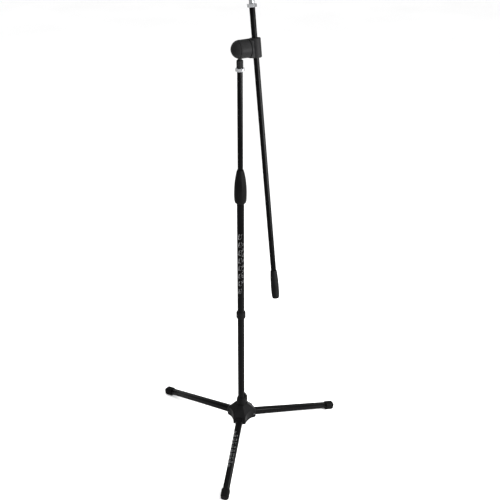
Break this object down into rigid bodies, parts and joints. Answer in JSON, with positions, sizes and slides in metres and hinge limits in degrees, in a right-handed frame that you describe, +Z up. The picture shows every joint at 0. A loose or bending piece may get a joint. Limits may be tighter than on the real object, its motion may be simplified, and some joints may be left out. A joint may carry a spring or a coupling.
{
  "type": "microphone boom stand",
  "caption": "Microphone stand with a folding tripod base, a telescopic mast with a hand clutch, and a tilting boom held in a friction clutch.",
  "frame": {"origin": "on the floor, under the centre of the box round the open tripod; the mast axis is 82.1 mm behind it", "axes": "+Z up along the mast, -Y along the front leg, +X to the right of the stand"},
  "size_m": [0.6106, 0.5307, 1.4439],
  "materials": {
    "tube_paint": "satin black enamel on steel tube",
    "moulded_black": "fine-grained black glass-filled nylon",
    "grip_rubber": "smooth black rubber over-moulding",
    "foot_rubber": "dull black rubber",
    "chrome": "bright chrome plating",
    "zinc_steel": "zinc-plated steel",
    "black_steel": "black oxide steel",
    "brass": "turned brass",
    "liner_plastic": "dark grey acetal",
    "fibre": "pressed fibre friction material"
  },
  "bodies": {
    "mast": {"lower_tube": "tube_paint", "tube_plug": "moulded_black", "stop_ring": "moulded_black", "stop_ring_screw": "black_steel", "clutch_sleeve": "moulded_black", "height_collet": "liner_plastic"},
    "hub_slider": {"hub": "moulded_black", "hub_liner": "liner_plastic", "hub_clamp_screw": "black_steel", "leg_pin_front": "zinc_steel", "leg_pin_right": "zinc_steel", "leg_pin_left": "zinc_steel"},
    "front_leg": {"leg_front": "tube_paint", "leg_heel_front": "moulded_black", "foot_front": "foot_rubber"},
    "right_leg": {"leg_right": "tube_paint", "leg_heel_right": "moulded_black", "foot_right": "foot_rubber"},
    "left_leg": {"leg_left": "tube_paint", "leg_heel_left": "moulded_black", "foot_left": "foot_rubber"},
    "height_clutch": {"height_grip": "grip_rubber"},
    "mast_slider": {"tube_guide": "liner_plastic"},
    "upper_mast": {"upper_tube": "tube_paint", "mast_stud": "chrome", "clutch_housing": "moulded_black", "thrust_washer": "zinc_steel", "friction_disc": "fibre"},
    "mast_lock_nut": {"mast_nut": "chrome"},
    "coupling": {"coupling_nut": "moulded_black"},
    "tension_knob": {"clutch_knob": "moulded_black", "knob_insert": "brass"},
    "boom_clamp": {"boom_holder": "moulded_black", "clutch_bolt": "zinc_steel"},
    "boom_turner": {"sleeve_liner": "liner_plastic"},
    "boom": {"boom_tube": "tube_paint", "boom_stud": "chrome", "boom_grip": "grip_rubber"},
    "boom_lock_nut": {"boom_nut": "chrome"}
  },
  "joints": [
    {"name": "hub_slide", "type": "slide", "parent": "mast", "child": "hub_slider", "axis": [0, 0, 1], "range_m": [0, 0.2946]},
    {"name": "front_leg_fold", "type": "hinge", "parent": "hub_slider", "child": "front_leg", "pos_m": [0, 0.04412, 0.07061], "axis": [1, 0, 0], "range_deg": [0, 79]},
    {"name": "right_leg_fold", "type": "hinge", "parent": "hub_slider", "child": "right_leg", "pos_m": [0.03291, 0.10112, 0.07061], "axis": [-0.5, 0.866, 0], "range_deg": [0, 79]},
    {"name": "left_leg_fold", "type": "hinge", "parent": "hub_slider", "child": "left_leg", "pos_m": [-0.03291, 0.10112, 0.07061], "axis": [-0.5, -0.866, 0], "range_deg": [0, 79]},
    {"name": "height_grip_turn", "type": "hinge", "parent": "mast", "child": "height_clutch", "pos_m": [0, 0.08212, 0], "axis": [0, 0, 1], "range_deg": [0, 180]},
    {"name": "mast_slide", "type": "slide", "parent": "mast", "child": "mast_slider", "axis": [0, 0, 1], "range_m": [-0.2928, 0.3606]},
    {"name": "mast_turn", "type": "hinge", "parent": "mast_slider", "child": "upper_mast", "pos_m": [0, 0.08212, 0], "axis": [0, 0, 1], "continuous": true},
    {"name": "mast_nut_spin", "type": "hinge", "parent": "upper_mast", "child": "mast_lock_nut", "pos_m": [0, 0.08212, 0], "axis": [0, 0, 1], "continuous": true},
    {"name": "coupling_spin", "type": "hinge", "parent": "upper_mast", "child": "coupling", "pos_m": [0, 0.08212, 0], "axis": [0, 0, 1], "continuous": true},
    {"name": "knob_turn", "type": "hinge", "parent": "upper_mast", "child": "tension_knob", "pos_m": [0, 0.08212, 1.303], "axis": [0.8039, 0.5948, 0], "continuous": true},
    {"name": "boom_tilt", "type": "hinge", "parent": "upper_mast", "child": "boom_clamp", "pos_m": [0, 0.08212, 1.303], "axis": [0.8039, 0.5948, 0], "continuous": true},
    {"name": "boom_turn", "type": "hinge", "parent": "boom_clamp", "child": "boom_turner", "pos_m": [0.03859, 0.11067, 1.303], "axis": [-0.1074, 0.1451, 0.9836], "continuous": true},
    {"name": "boom_slide", "type": "slide", "parent": "boom_turner", "child": "boom", "axis": [-0.1074, 0.1451, 0.9836], "range_m": [-0.0805, 0.6221]},
    {"name": "boom_nut_spin", "type": "hinge", "parent": "boom", "child": "boom_lock_nut", "pos_m": [0.0272, 0.12605, 1.40726], "axis": [-0.1074, 0.1451, 0.9836], "continuous": true}
  ],
  "couplings": [
    {"joint": "front_leg_fold", "follows": "hub_slide", "rad_per_m": 4.6798},
    {"joint": "right_leg_fold", "follows": "hub_slide", "rad_per_m": 4.6798},
    {"joint": "left_leg_fold", "follows": "hub_slide", "rad_per_m": 4.6798}
  ]
}
